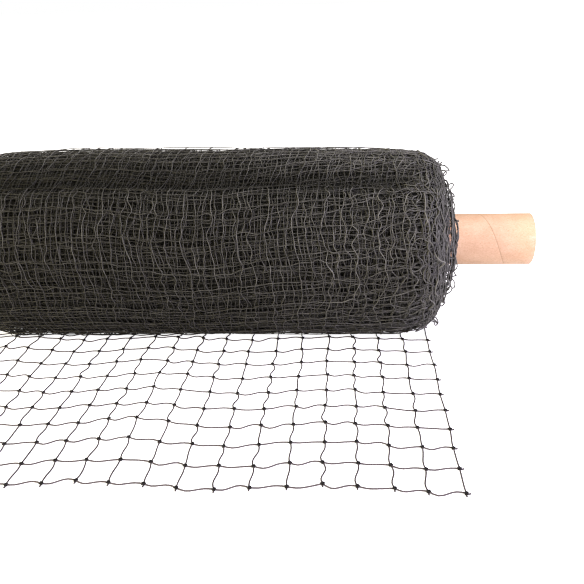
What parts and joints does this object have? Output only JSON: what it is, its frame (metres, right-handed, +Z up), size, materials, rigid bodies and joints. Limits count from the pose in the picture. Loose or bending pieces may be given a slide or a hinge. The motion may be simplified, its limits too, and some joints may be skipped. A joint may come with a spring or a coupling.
{
  "type": "roll of cat safety netting",
  "caption": "Black knotted square-mesh safety net wound on a paper tube that stands out at both ends, with the loose end drawn out flat in front, ready to cut.",
  "frame": {"origin": "on the floor under the tube's axis, at the middle of the roll's length, on the flat spot that the roll rests on", "axes": "+X along the tube to the right, -Y towards the loose end, +Z up"},
  "size_m": [0.648, 0.3659, 0.1844],
  "materials": {
    "kraft_tube": "spiral-wound kraft paper, smooth, with a faint satin",
    "wound_net": "many turns of black twisted polyethylene net, open and uneven",
    "net_yarn": "black twisted polyethylene yarn, satin, knotted at each crossing"
  },
  "bodies": {
    "root": {"core_tube": "kraft_tube", "net_roll": "wound_net", "net_loose_end": "net_yarn"}
  },
  "joints": []
}
